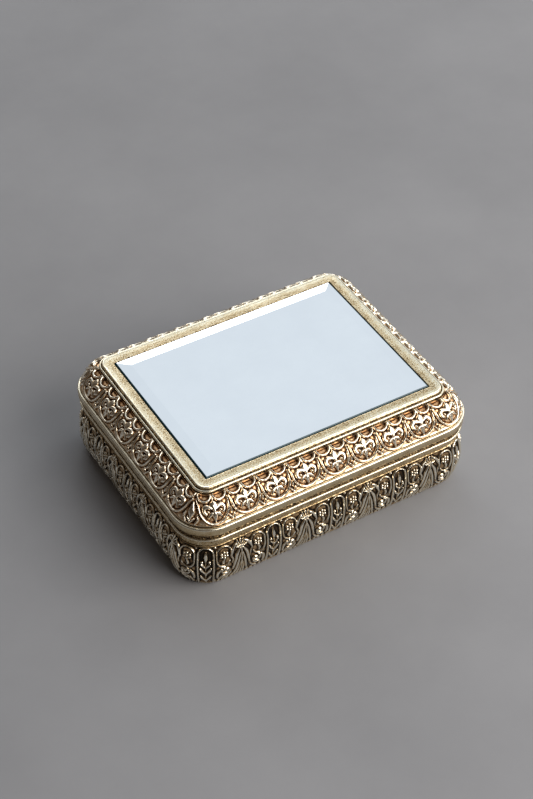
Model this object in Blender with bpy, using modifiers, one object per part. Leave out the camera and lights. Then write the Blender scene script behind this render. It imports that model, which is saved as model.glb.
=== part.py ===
"""A vanity trinket box: a cast gilt box and lid round a bevelled mirror, lined with velvet.

The frame: +X along the box's length, -Y its front, +Z up, the origin in the middle of the
underside. Lengths are in metres. Every outline is the mirror opening's rectangle grown by an
offset, with corners rounded to that same offset, so a section is a list of (offset, height)
points carried round the opening.
"""

import math

import bmesh
import bpy
from mathutils import Matrix, Vector

# Driving dimensions.
OPENING_X = 0.0850  # the visible mirror
OPENING_Y = 0.0620
HEIGHT = 0.0378  # from the felt to the top of the lid's band, which the glass stands just above
RIM_TOP = 0.0243  # the box's rim
PARTING_GAP = 0.0003  # between the box's rim and the lid's edge
CLEAR = 0.0002  # between pieces that touch
CORNER_STEPS = 8
TURNED_STEPS = 16

# The box.
FOOT_Z = 0.0003  # the felt stands this far proud of the cast foot
WALL_INNER = 0.0092  # offset of the box's and the lid's inner faces
FOOT_INNER = 0.0088
FLANGE_INNER = 0.0050  # the ledge inside the foot that the base plate is screwed to
FLANGE_BOTTOM = 0.0017
FLANGE_TOP = 0.0037
FELT_THICK = 0.0006
PLATE_THICK = 0.0007
CARD_THICK = 0.0008
PAD_THICK = 0.0025
LINING_OUTER = 0.0082
LINING_THICK = 0.0010
LINING_TOP = 0.0236

# The lid.
LID_EDGE = RIM_TOP + PARTING_GAP
LIP_UNDER = HEIGHT - 0.0010  # the lip that holds the mirror from above
REBATE = 0.0015
FRAME_UNDER = 0.0334  # the flat that the mirror clips are screwed to
FRAME_UNDER_OUTER = 0.0056
LID_WALL_TOP = 0.0296
GLASS_EDGE = 0.0010  # how far the glass's lower step reaches under the lip
GLASS_STEP = LIP_UNDER - 0.0002
GLASS_GAP = 0.00035  # between the lip and the glass that stands in the opening
GLASS_BOTTOM = 0.0343
GLASS_ARRIS = HEIGHT + 0.0002  # the sharp edge that the bevel rises from
BEVEL_WIDTH = 0.0040
BEVEL_DROP = 0.0005
LID_PAD_TOP = 0.0306
LID_PAD_THICK = 0.0024
LID_PAD_OFFSET = 0.0066
LID_CARD_OFFSET = 0.0060

# Fasteners.
SCREW_RADIUS = 0.0008
SCREW_HEAD_RADIUS = 0.0016
SCREW_LENGTH = 0.0026
SCREW_REACH = 0.0047  # along the diagonal, from the opening's corner to a base screw
HOLE_CLEAR = 0.0001
CLIP_LENGTH = 0.0074
CLIP_WIDTH = 0.0060
CLIP_THICK = 0.0006
CLIP_OUTER = 0.0049  # offset of a clip's outer end
CLIP_SCREW_OFFSET = 0.0033
CLIP_SCREW_RADIUS = 0.0006
CLIP_SCREW_HEAD = 0.0012
CLIP_SCREW_LENGTH = 0.0022
RIVET_RADIUS = 0.0006
RIVET_LENGTH = 0.0016
RIVET_INSET = 0.00005  # from a leaf's inner face to its rivets' ends

# The hinges.
HINGE_X = 0.0270  # from the middle to each hinge
HINGE_Y = OPENING_Y / 2 + 0.0136
HINGE_Z = RIM_TOP + PARTING_GAP / 2
HINGE_WIDTH = 0.0140
KNUCKLE_RADIUS = 0.0013
KNUCKLE_GAP = 0.00015
MIDDLE_KNUCKLE = 0.0050
PIN_RADIUS = 0.0006
PIN_CLEAR = 0.00005
WEB_THICK = 0.0008
WEB_OFF_AXIS = 0.00065  # from the axis to the middle of each leaf's web
FLANGE_THICK = 0.0006
LEAF_INNER = 0.0084  # offset of the leaves' inner faces
BODY_LEAF_DEPTH = 0.0058
LID_LEAF_DEPTH = 0.0036
RIVET_SPREAD = 0.0040
NOTCH_CLEAR = 0.0002
STOP_REACH = 0.0026  # the lug that meets the box's bead and stops the lid when it is open
STOP_THICK = 0.0012
BODY_RIVET_Z = HINGE_Z - 0.0041
LID_RIVET_Z = HINGE_Z + 0.0026

GILT = ("gilt_brass", (0.62, 0.47, 0.26), 0.32, 1.0)
PLATE = ("base_brass", (0.52, 0.40, 0.22), 0.42, 1.0)
STEEL = ("hinge_steel", (0.55, 0.54, 0.52), 0.35, 1.0)
MIRROR = ("mirror_silver", (0.88, 0.90, 0.92), 0.03, 1.0)
CARD = ("grey_card", (0.38, 0.34, 0.29), 0.85, 0.0)
VELVET = ("wine_velvet", (0.20, 0.02, 0.04), 0.90, 0.0)
FELT = ("green_felt", (0.05, 0.10, 0.06), 0.95, 0.0)


def clear_scene():
    for obj in list(bpy.data.objects):
        bpy.data.objects.remove(obj, do_unlink=True)


def new_collection(name, helpers=False):
    collection = bpy.data.collections.new(name)
    collection.hide_render = helpers
    bpy.context.scene.collection.children.link(collection)
    return collection


def material(spec):
    name, colour, roughness, metallic = spec
    found = bpy.data.materials.get(name)
    if found:
        return found
    made = bpy.data.materials.new(name)
    made.use_nodes = True
    shader = made.node_tree.nodes["Principled BSDF"]
    shader.inputs["Base Color"].default_value = (*colour, 1.0)
    shader.inputs["Roughness"].default_value = roughness
    shader.inputs["Metallic"].default_value = metallic
    return made


def add_object(name, bm, spec=None):
    """Makes an object of a bmesh: a part with a material, or a cutter without one."""
    mesh = bpy.data.meshes.new(name)
    bmesh.ops.recalc_face_normals(bm, faces=bm.faces)
    bm.to_mesh(mesh)
    bm.free()
    obj = bpy.data.objects.new(name, mesh)
    if spec is None:
        CUTTERS.objects.link(obj)
        obj.hide_render = True
        obj.display_type = "WIRE"
        return obj
    PARTS.objects.link(obj)
    mesh.materials.append(material(spec))
    mesh.shade_smooth()
    mesh.set_sharp_from_angle(angle=math.radians(35))
    return obj


def smooth(points, steps):
    """Points on the Catmull-Rom curve through a few (offset, height) points."""
    ends = [points[0], *points, points[-1]]
    found = []
    for a, b, c, d in zip(ends, ends[1:], ends[2:], ends[3:]):
        for step in range(steps):
            t = step / steps
            found.append(
                tuple(
                    0.5 * (2 * q + (r - p) * t + (2 * p - 5 * q + 4 * r - s) * t**2
                           + (3 * q - p - 3 * r + s) * t**3)
                    for p, q, r, s in zip(a, b, c, d)
                )
            )
    return [*found, points[-1]]


def arc(centre, radius, first, last, steps):
    """Points on an arc, with the angles in degrees from straight outwards, turning upwards."""
    angles = [math.radians(first + (last - first) * k / steps) for k in range(steps + 1)]
    return [(centre[0] + radius * math.cos(a), centre[1] + radius * math.sin(a)) for a in angles]


def carried_round(profile, ring):
    """A bmesh of a profile carried round the opening: a ring, or a plate with flat ends."""
    half_x, half_y = OPENING_X / 2, OPENING_Y / 2
    sides = (
        ((OPENING_X, 0), (half_x, -half_y)),
        ((0, OPENING_Y), (half_x, half_y)),
        ((-OPENING_X, 0), (-half_x, half_y)),
        ((0, -OPENING_Y), (-half_x, -half_y)),
    )
    bm = bmesh.new()
    verts = [bm.verts.new((-half_x, -half_y - offset, z)) for offset, z in profile]
    edges = [bm.edges.new(pair) for pair in zip(verts, verts[1:])]
    if ring:
        edges.append(bm.edges.new((verts[-1], verts[0])))
    for run, corner in sides:
        made = bmesh.ops.extrude_edge_only(bm, edges=edges)["geom"]
        verts = [item for item in made if isinstance(item, bmesh.types.BMVert)]
        bmesh.ops.translate(bm, verts=verts, vec=(*run, 0))
        fresh = set(verts)
        edges = [
            item for item in made if isinstance(item, bmesh.types.BMEdge) and fresh.issuperset(item.verts)
        ]
        turned_geometry = bmesh.ops.spin(
            bm, geom=verts + edges, cent=(*corner, 0), axis=(0, 0, 1), angle=math.pi / 2, steps=CORNER_STEPS
        )["geom_last"]
        edges = [item for item in turned_geometry if isinstance(item, bmesh.types.BMEdge)]
    bmesh.ops.remove_doubles(bm, verts=bm.verts, dist=1e-6)
    if not ring:
        bmesh.ops.holes_fill(bm, edges=[edge for edge in bm.edges if edge.is_boundary], sides=0)
    return bm


def ring(name, profile, spec):
    return add_object(name, carried_round(profile, True), spec)


def plate(name, offset, bottom, thick, edge_radius, spec, edge_steps=1):
    """A flat piece with its two edges chamfered, or rounded where edge_steps is more than 1."""
    top = bottom + thick
    inner = offset - edge_radius
    lower = arc((inner, bottom + edge_radius), edge_radius, -90, 0, edge_steps)
    upper = arc((inner, top - edge_radius), edge_radius, 0, 90, edge_steps)
    return add_object(name, carried_round(lower + upper, False), spec)


def block(name, low, high, spec=None):
    bm = bmesh.new()
    size = [h - l for l, h in zip(low, high)]
    middle = [(l + h) / 2 for l, h in zip(low, high)]
    bmesh.ops.create_cube(bm, size=1, matrix=Matrix.Translation(middle) @ Matrix.Diagonal((*size, 1)))
    return add_object(name, bm, spec)


def rod(name, centre, axis, radius, length, spec=None, far_radius=None):
    """A cylinder or cone about X, Y or Z. far_radius is the radius at its far end."""
    turns = {
        "X": Matrix.Rotation(math.pi / 2, 4, "Y"),
        "Y": Matrix.Rotation(-math.pi / 2, 4, "X"),
        "Z": Matrix.Identity(4),
    }
    bm = bmesh.new()
    bmesh.ops.create_cone(
        bm,
        cap_ends=True,
        segments=TURNED_STEPS,
        radius1=radius,
        radius2=radius if far_radius is None else far_radius,
        depth=length,
        matrix=Matrix.Translation(centre) @ turns[axis],
    )
    return add_object(name, bm, spec)


def turned(name, profile, spec, location, rotation=(0, 0, 0)):
    """A piece turned about its own Z, from a profile that runs down its outer side."""
    bm = bmesh.new()
    verts = [bm.verts.new((radius, 0, z)) for radius, z in profile]
    for pair in zip(verts, verts[1:]):
        bm.edges.new(pair)
    obj = add_object(name, bm, spec)
    screw = obj.modifiers.new("Turn", "SCREW")
    screw.steps = TURNED_STEPS
    screw.render_steps = TURNED_STEPS
    screw.use_merge_vertices = True
    screw.merge_threshold = 1e-6
    obj.location = location
    obj.rotation_euler = rotation
    return obj


def combine(obj, others, operation):
    """Joins others to an object, or cuts them from it, with one Boolean for each."""
    for other in others:
        boolean = obj.modifiers.new(other.name, "BOOLEAN")
        boolean.operation = operation
        boolean.object = other


def hang_on(parent, pieces):
    for piece in pieces:
        piece.parent = parent
        piece.matrix_parent_inverse = Matrix.Translation(parent.location).inverted()


def corner_points():
    """The four base screws' places, with their names."""
    reach = SCREW_REACH * math.sqrt(0.5)
    for y_name, y_side in (("front", -1), ("back", 1)):
        for x_name, x_side in (("left", -1), ("right", 1)):
            place = (x_side * (OPENING_X / 2 + reach), y_side * (OPENING_Y / 2 + reach))
            yield f"{y_name}_{x_name}", place


def side_points(offset):
    """The middle of each side at an offset, with its name and its outward direction."""
    for name, direction in (("front", (0, -1)), ("back", (0, 1)), ("left", (-1, 0)), ("right", (1, 0))):
        x = direction[0] * (OPENING_X / 2 + offset)
        y = direction[1] * (OPENING_Y / 2 + offset)
        yield name, Vector((x, y, 0)), direction


def hinge_places():
    return (("left", -HINGE_X), ("right", HINGE_X))


def body_section():
    """The box's wall: foot, bulging frieze, hollow neck, bead and sloping rim, with a straight inside."""
    frieze = smooth(
        [(0.0101, FOOT_Z), (0.0114, 0.0028), (0.0123, 0.0066), (0.0126, 0.0110), (0.0122, 0.0146),
         (0.0114, 0.0172), (0.0109, 0.0184)],
        2,
    )
    neck = smooth([(0.0108, 0.0190), (0.0108, 0.0204), (0.0113, 0.0217)], 2)
    bead = arc((0.0116, 0.0224), 0.00045, -60, 80, 4)
    inside = [
        (0.0111, RIM_TOP),
        (WALL_INNER, RIM_TOP),
        (WALL_INNER, FLANGE_TOP),
        (FLANGE_INNER, FLANGE_TOP),
        (FLANGE_INNER, FLANGE_BOTTOM),
        (FOOT_INNER, FLANGE_BOTTOM),
        (FOOT_INNER, FOOT_Z),
    ]
    return frieze + neck + bead + inside


def lid_section():
    """The lid's frame: lower band, swelling frieze, reeded step, top band and the mirror's rebate."""
    lower_band = [(0.0122, LID_EDGE + 0.0003), *arc((0.01195, 0.0269), 0.0006, -10, 90, 4)]
    frieze = smooth(
        [(0.0116, 0.0283), (0.0112, 0.0295), (0.0106, 0.0308), (0.0097, 0.0325), (0.0085, 0.0339),
         (0.0068, 0.0352), (0.0049, 0.0362)],
        2,
    )
    top = [(0.0047, 0.0370), (0.0038, HEIGHT), (0.0, HEIGHT), (0.0, LIP_UNDER), (REBATE, LIP_UNDER)]
    inside = [
        (REBATE, FRAME_UNDER),
        (FRAME_UNDER_OUTER, FRAME_UNDER),
        (WALL_INNER, LID_WALL_TOP),
        (WALL_INNER, LID_EDGE),
        (0.0119, LID_EDGE),
    ]
    return lower_band + frieze + top + inside


def notch_cutter(name, x, bottom, top):
    half = HINGE_WIDTH / 2 + NOTCH_CLEAR
    return block(
        name,
        (x - half, OPENING_Y / 2 + LEAF_INNER, bottom),
        (x + half, HINGE_Y + KNUCKLE_RADIUS, top),
    )


def rivet_points(x, z):
    """The two rivets of a leaf, at the middle of their length."""
    y = OPENING_Y / 2 + LEAF_INNER + RIVET_INSET + RIVET_LENGTH / 2
    return [(x + side * RIVET_SPREAD, y, z) for side in (-1, 1)]


def rivet_hole_cutters(name, x, z):
    return [
        rod(f"{name}_{k}", point, "Y", RIVET_RADIUS + HOLE_CLEAR, RIVET_LENGTH + 2 * HOLE_CLEAR)
        for k, point in enumerate(rivet_points(x, z), 1)
    ]


def build_body_shell():
    shell = ring("body_shell", body_section(), GILT)
    cutters = []
    for name, place in corner_points():
        centre = (*place, (FLANGE_BOTTOM + FLANGE_TOP) / 2)
        cutters.append(rod(f"cut_flange_{name}", centre, "Z", SCREW_RADIUS + HOLE_CLEAR, SCREW_LENGTH))
    for side, x in hinge_places():
        web_bottom = HINGE_Z - WEB_OFF_AXIS - WEB_THICK / 2
        cutters.append(notch_cutter(f"cut_rim_{side}", x, web_bottom - CLEAR, HINGE_Z + 0.001))
        cutters += rivet_hole_cutters(f"cut_wall_rivet_{side}", x, BODY_RIVET_Z)
    combine(shell, cutters, "DIFFERENCE")


def build_base():
    plate_bottom = FELT_THICK + CLEAR
    base = plate("base_plate", FOOT_INNER - CLEAR, plate_bottom, PLATE_THICK, 0.0001, PLATE)
    cutters = []
    for name, place in corner_points():
        middle = (*place, plate_bottom + PLATE_THICK / 2)
        cone = rod(
            f"cut_plate_{name}",
            middle,
            "Z",
            SCREW_HEAD_RADIUS + 2 * HOLE_CLEAR,
            PLATE_THICK + 0.0002,
            far_radius=SCREW_RADIUS + HOLE_CLEAR,
        )
        cutters.append(cone)
        head_z = plate_bottom + PLATE_THICK
        profile = [
            (0, head_z + SCREW_LENGTH - PLATE_THICK),
            (SCREW_RADIUS, head_z + SCREW_LENGTH - PLATE_THICK - 0.0002),
            (SCREW_RADIUS, head_z - 0.0001),
            (SCREW_HEAD_RADIUS, plate_bottom + 0.00005),
            (0, plate_bottom + 0.00005),
        ]
        turned(f"base_screw_{name}", profile, STEEL, (*place, 0))
    combine(base, cutters, "DIFFERENCE")
    plate("base_felt", FOOT_INNER - CLEAR, 0, FELT_THICK, 0.0001, FELT)


def build_linings():
    card_bottom = FLANGE_TOP + CLEAR
    plate("floor_card", LINING_OUTER, card_bottom, CARD_THICK, 0.0002, CARD)
    pad_bottom = card_bottom + CARD_THICK + CLEAR
    lining_inner = LINING_OUTER - LINING_THICK
    plate("floor_pad", lining_inner - CLEAR, pad_bottom, PAD_THICK, 0.0008, VELVET, edge_steps=2)
    lining_bottom = pad_bottom
    section = [
        (lining_inner, lining_bottom),
        (LINING_OUTER, lining_bottom),
        (LINING_OUTER, LINING_TOP - LINING_THICK / 2),
        *arc((LINING_OUTER - LINING_THICK / 2, LINING_TOP - LINING_THICK / 2), LINING_THICK / 2, 30, 150, 4),
        (lining_inner, LINING_TOP - LINING_THICK / 2),
    ]
    ring("wall_lining", section, VELVET)


def build_lid_frame():
    frame = ring("lid_frame", lid_section(), GILT)
    cutters = []
    for name, place, _ in side_points(CLIP_SCREW_OFFSET):
        centre = (place.x, place.y, FRAME_UNDER - 0.001 + (CLIP_SCREW_LENGTH + 0.001) / 2)
        cutters.append(
            rod(f"cut_frame_{name}", centre, "Z", CLIP_SCREW_RADIUS + HOLE_CLEAR, CLIP_SCREW_LENGTH + 0.001)
        )
    for side, x in hinge_places():
        web_top = HINGE_Z + WEB_OFF_AXIS + WEB_THICK / 2
        cutters.append(notch_cutter(f"cut_lid_edge_{side}", x, HINGE_Z - 0.001, web_top + CLEAR))
        cutters += rivet_hole_cutters(f"cut_lid_rivet_{side}", x, LID_RIVET_Z)
    combine(frame, cutters, "DIFFERENCE")
    return [frame]


def build_mirror():
    """The glass and the card behind it.

    The glass has a lower step under the frame's lip. Its upper part stands a little above the
    frame, with a wide bevel ground all round.
    """
    half_x = OPENING_X / 2 + GLASS_EDGE
    half_y = OPENING_Y / 2 + GLASS_EDGE
    bm = bmesh.new()
    size = (2 * half_x, 2 * half_y, GLASS_STEP - GLASS_BOTTOM)
    middle = (0, 0, GLASS_BOTTOM + size[2] / 2)
    bmesh.ops.create_cube(bm, size=1, matrix=Matrix.Translation(middle) @ Matrix.Diagonal((*size, 1)))
    bm.normal_update()
    top = [face for face in bm.faces if face.normal.z > 0.9]
    bmesh.ops.inset_region(bm, faces=top, thickness=GLASS_EDGE + GLASS_GAP, use_even_offset=True)
    raised = bmesh.ops.extrude_discrete_faces(bm, faces=top)["faces"]
    rise = Vector((0, 0, GLASS_ARRIS - GLASS_STEP))
    bmesh.ops.translate(bm, verts=list({vert for face in raised for vert in face.verts}), vec=rise)
    bm.normal_update()
    bmesh.ops.inset_region(
        bm, faces=raised, thickness=BEVEL_WIDTH, depth=BEVEL_DROP, use_even_offset=True
    )
    glass = add_object("mirror_glass", bm, MIRROR)
    backing_top = GLASS_BOTTOM - CLEAR
    backing = block(
        "mirror_backing",
        (-half_x, -half_y, backing_top - CARD_THICK),
        (half_x, half_y, backing_top),
        CARD,
    )
    return [glass, backing]


def build_clips():
    """A small plate in the middle of each side, and its screw, hold the mirror in its rebate."""
    made = []
    clip_top = FRAME_UNDER - CLEAR
    for name, outer, direction in side_points(CLIP_OUTER):
        along_x, along_y = abs(direction[0]), abs(direction[1])
        middle = outer - Vector((*direction, 0)) * (CLIP_LENGTH / 2)
        half_x = (CLIP_LENGTH * along_x + CLIP_WIDTH * along_y) / 2
        half_y = (CLIP_LENGTH * along_y + CLIP_WIDTH * along_x) / 2
        low = (middle.x - half_x, middle.y - half_y, clip_top - CLIP_THICK)
        high = (middle.x + half_x, middle.y + half_y, clip_top)
        clip = block(f"mirror_clip_{name}", low, high, PLATE)
        rounding = clip.modifiers.new("Rounded corners", "BEVEL")
        rounding.width = 0.0002
        rounding.segments = 2
        screw_place = outer - Vector((*direction, 0)) * (CLIP_OUTER - CLIP_SCREW_OFFSET)
        centre = (screw_place.x, screw_place.y, clip_top - CLIP_THICK / 2)
        hole = rod(f"cut_clip_{name}", centre, "Z", CLIP_SCREW_RADIUS + HOLE_CLEAR, CLIP_THICK + 0.001)
        combine(clip, [hole], "DIFFERENCE")
        head_top = clip_top - CLIP_THICK - 0.0001
        profile = [
            (0, head_top + CLIP_SCREW_LENGTH),
            (CLIP_SCREW_RADIUS, head_top + CLIP_SCREW_LENGTH - 0.0002),
            (CLIP_SCREW_RADIUS, head_top),
            (CLIP_SCREW_HEAD, head_top),
            (CLIP_SCREW_HEAD - 0.0002, head_top - 0.0004),
            (0, head_top - 0.0005),
        ]
        screw = turned(f"clip_screw_{name}", profile, STEEL, (screw_place.x, screw_place.y, 0))
        made += [clip, screw]
    return made


def build_lid_lining():
    pad_bottom = LID_PAD_TOP - LID_PAD_THICK
    pad = plate("lid_pad", LID_PAD_OFFSET, pad_bottom, LID_PAD_THICK, 0.0008, VELVET, edge_steps=2)
    card = plate("lid_card", LID_CARD_OFFSET, LID_PAD_TOP + CLEAR, CARD_THICK, 0.0002, CARD)
    return [pad, card]


def leaf(name, x, up, knuckles, cleared, depth, rivet_z):
    """A hinge leaf: a flange inside the wall, a web through its notch, and knuckles on the axis.

    up is 1 for the lid's leaf and -1 for the box's. knuckles and cleared are (x, length) lists.
    """
    half = HINGE_WIDTH / 2
    inner_y = OPENING_Y / 2 + LEAF_INNER
    web_z = sorted(HINGE_Z + up * (WEB_OFF_AXIS + side * WEB_THICK / 2) for side in (-1, 1))
    flange_end = HINGE_Z + up * (WEB_OFF_AXIS - WEB_THICK / 2 + depth)
    flange_z = sorted((flange_end, HINGE_Z + up * (WEB_OFF_AXIS - WEB_THICK / 2)))
    obj = block(
        name, (x - half, inner_y, flange_z[0]), (x + half, inner_y + FLANGE_THICK, flange_z[1]), GILT
    )
    web_y = inner_y + FLANGE_THICK / 2
    web = block(f"{name}_web", (x - half, web_y, web_z[0]), (x + half, HINGE_Y, web_z[1]))
    barrels = [
        rod(f"{name}_barrel_{k}", (x + at, HINGE_Y, HINGE_Z), "X", KNUCKLE_RADIUS, length)
        for k, (at, length) in enumerate(knuckles, 1)
    ]
    reliefs = [
        rod(f"{name}_relief_{k}", (x + at, HINGE_Y, HINGE_Z), "X", KNUCKLE_RADIUS + 0.0002, length)
        for k, (at, length) in enumerate(cleared, 1)
    ]
    bore = rod(f"{name}_bore", (x, HINGE_Y, HINGE_Z), "X", PIN_RADIUS + PIN_CLEAR, HINGE_WIDTH + 0.002)
    combine(obj, [web], "UNION")
    combine(obj, reliefs, "DIFFERENCE")
    combine(obj, barrels, "UNION")
    if up > 0:
        lug = block(
            f"{name}_lug",
            (x - MIDDLE_KNUCKLE / 4, HINGE_Y + PIN_RADIUS + 0.0003, HINGE_Z - STOP_THICK / 2),
            (x + MIDDLE_KNUCKLE / 4, HINGE_Y + STOP_REACH, HINGE_Z + STOP_THICK / 2),
        )
        combine(obj, [lug], "UNION")
    combine(obj, [bore], "DIFFERENCE")
    combine(obj, rivet_hole_cutters(f"{name}_rivet_hole", x, rivet_z), "DIFFERENCE")
    return obj


def build_hinge(side, x):
    """Returns the pieces that move with the lid."""
    end_length = (HINGE_WIDTH - MIDDLE_KNUCKLE) / 2 - KNUCKLE_GAP
    end_at = (HINGE_WIDTH - end_length) / 2
    ends = [(-end_at, end_length), (end_at, end_length)]
    middle = [(0, MIDDLE_KNUCKLE)]
    past_end = 0.0004
    cleared_at = end_at - KNUCKLE_GAP / 2 + past_end / 2
    cleared_length = end_length + KNUCKLE_GAP + past_end
    ends_cleared = [(-cleared_at, cleared_length), (cleared_at, cleared_length)]
    middle_cleared = [(0, MIDDLE_KNUCKLE + 2 * KNUCKLE_GAP)]
    leaf(f"hinge_body_leaf_{side}", x, -1, ends, middle_cleared, BODY_LEAF_DEPTH, BODY_RIVET_Z)
    lid_leaf = leaf(f"hinge_lid_leaf_{side}", x, 1, middle, ends_cleared, LID_LEAF_DEPTH, LID_RIVET_Z)
    half = HINGE_WIDTH / 2
    pin_profile = [
        (0, half + 0.0005),
        (PIN_RADIUS * 1.2, half + 0.0004),
        (PIN_RADIUS * 1.4, half + 0.0001),
        (PIN_RADIUS, half + 0.0001),
        (PIN_RADIUS, -half - 0.0001),
        (PIN_RADIUS * 1.4, -half - 0.0001),
        (PIN_RADIUS * 1.2, -half - 0.0004),
        (0, -half - 0.0005),
    ]
    turned(f"hinge_pin_{side}", pin_profile, STEEL, (x, HINGE_Y, HINGE_Z), (0, math.pi / 2, 0))
    for k, point in enumerate(rivet_points(x, BODY_RIVET_Z), 1):
        rivet(f"body_rivet_{side}_{k}", point)
    lid_rivets = [rivet(f"lid_rivet_{side}_{k}", p) for k, p in enumerate(rivet_points(x, LID_RIVET_Z), 1)]
    return [lid_leaf, *lid_rivets]


def rivet(name, point):
    half = RIVET_LENGTH / 2
    profile = [
        (0, half),
        (RIVET_RADIUS - 0.0001, half),
        (RIVET_RADIUS, half - 0.0001),
        (RIVET_RADIUS, 0.0001 - half),
        (RIVET_RADIUS - 0.0001, -half),
        (0, -half),
    ]
    return turned(name, profile, PLATE, point, (-math.pi / 2, 0, 0))


clear_scene()
PARTS = new_collection("vanity_trinket_box")
CUTTERS = new_collection("cutters", helpers=True)

build_body_shell()
build_base()
build_linings()
lid_pieces = build_lid_frame() + build_mirror() + build_clips() + build_lid_lining()
for side_name, hinge_x in hinge_places():
    lid_pieces += build_hinge(side_name, hinge_x)

lid_axis = bpy.data.objects.new("lid_axis", None)
lid_axis.location = (0, HINGE_Y, HINGE_Z)
PARTS.objects.link(lid_axis)
hang_on(lid_axis, lid_pieces)
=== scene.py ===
"""The looks of a vanity trinket box: chased gilt castings round a bevelled mirror, lined with velvet.

Sections and ornament are drawn in millimetres. A section is a list of (offset, height) points:
the offset is measured outwards from the mirror's opening, whose corners are rounded to that same
offset, and the height from the top of the lid's band or from the box's rim. Ornament is drawn on
the unrolled surface, x along the side and y down the section, as strokes that stand out of a
sunk ground.
"""

import math

import bpy
import numpy as np
from mathutils import Matrix, Vector


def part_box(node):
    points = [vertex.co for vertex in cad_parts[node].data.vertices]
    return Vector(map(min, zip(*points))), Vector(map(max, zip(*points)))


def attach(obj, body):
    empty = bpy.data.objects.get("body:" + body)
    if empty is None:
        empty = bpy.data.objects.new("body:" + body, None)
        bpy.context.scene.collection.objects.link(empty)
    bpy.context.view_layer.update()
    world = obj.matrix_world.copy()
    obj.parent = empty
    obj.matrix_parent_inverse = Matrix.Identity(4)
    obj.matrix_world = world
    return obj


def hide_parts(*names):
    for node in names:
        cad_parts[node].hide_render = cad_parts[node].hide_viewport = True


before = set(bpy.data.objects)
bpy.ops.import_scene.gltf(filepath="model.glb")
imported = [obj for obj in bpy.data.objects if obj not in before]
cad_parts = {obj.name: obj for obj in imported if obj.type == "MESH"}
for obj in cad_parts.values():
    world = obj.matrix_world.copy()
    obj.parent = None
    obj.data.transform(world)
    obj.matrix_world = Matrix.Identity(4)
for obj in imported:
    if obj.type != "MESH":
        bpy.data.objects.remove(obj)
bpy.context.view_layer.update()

MM = 0.001
GLASS_STEP = 1.0  # how far the glass's lower step reaches under the frame's lip
GLASS_GAP = 0.35  # between the glass's edge and the frame
BEVEL_WIDTH = 4.0
BEVEL_DROP = 0.5
ARRIS_WIDTH = 0.36  # the ground edge between the glass's side and its bevel

glass_low, glass_high = (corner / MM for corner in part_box("mirror_glass"))
HALF_X = glass_high.x - GLASS_STEP
HALF_Y = glass_high.y - GLASS_STEP
LID_LOW, LID_HIGH = (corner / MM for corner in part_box("lid_frame"))
BAND_Z = LID_HIGH.z
EDGE_Z = LID_LOW.z
RIM_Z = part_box("body_shell")[1].z / MM
FOOT_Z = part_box("body_shell")[0].z / MM
WALL_INNER = 9.2  # offset of the walls' inner faces
HINGES = [
    tuple(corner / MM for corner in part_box(f"hinge_body_leaf_{side}")) for side in ("left", "right")
]
NOTCH_CLEAR = 0.2  # between a hinge and each side of its notch
NOTCH_UP = 1.4  # how far above the box's rim a hinge's notch is cut into the lid's edge
NOTCH_DOWN = 1.1  # how far below it the notch is cut into the box
SIDES = ("front", "right", "back", "left")


# ---------------------------------------------------------------- curves and sections


def curve(points, steps=6):
    """Points on the Catmull-Rom curve through a few points."""
    p = np.asarray(points, float)
    if len(p) < 3:
        return p
    ends = np.vstack([2 * p[0] - p[1], p, 2 * p[-1] - p[-2]])
    t = np.linspace(0, 1, steps, endpoint=False)[:, None]
    spans = [
        0.5 * (2 * b + (c - a) * t + (2 * a - 5 * b + 4 * c - d) * t**2 + (3 * b - a - 3 * c + d) * t**3)
        for a, b, c, d in zip(ends, ends[1:], ends[2:], ends[3:])
    ]
    return np.vstack([*spans, p[-1:]])


def arc(centre, radius, first, last, steps=10):
    """Points on an arc. Angles are in degrees from straight outwards, turning up the section."""
    angles = np.radians(np.linspace(first, last, steps + 1))
    return np.stack([centre[0] + radius * np.cos(angles), centre[1] + radius * np.sin(angles)], 1)


def toned(points, tone):
    """(offset, height) points with a tone added to each: 0 in a groove painted dark as shade, 1 on a rubbed
    edge.
    """
    return [(*point, tone) for point in points]


def spread(points, spacing):
    """The same line with points at most a spacing apart, its own corners and its tones kept."""
    p = np.asarray(points, float)
    out = [p[:1]]
    for a, b in zip(p, p[1:]):
        count = max(1, math.ceil(np.hypot(*(b - a)[:2]) / spacing - 1e-6))
        out.append(a + (b - a) * np.linspace(0, 1, count + 1)[1:, None])
    return np.vstack(out)


def evenly(points, spacing):
    """The same line with its points an equal distance apart."""
    p = np.asarray(points, float)
    run = np.concatenate([[0], np.cumsum(np.hypot(*np.diff(p, axis=0).T))])
    at = np.linspace(0, run[-1], max(2, round(run[-1] / spacing) + 1))
    return np.stack([np.interp(at, run, p[:, 0]), np.interp(at, run, p[:, 1])], 1)


def run_length(section):
    return np.concatenate([[0], np.cumsum(np.hypot(*np.diff(section, axis=0).T))])


def section_normals(section):
    """Outward normals of a section that runs from its inner top to its outer bottom."""
    tangent = np.gradient(section, axis=0)
    normal = np.stack([-tangent[:, 1], tangent[:, 0]], 1)
    return normal / np.maximum(np.hypot(*normal.T)[:, None], 1e-9)


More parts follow.
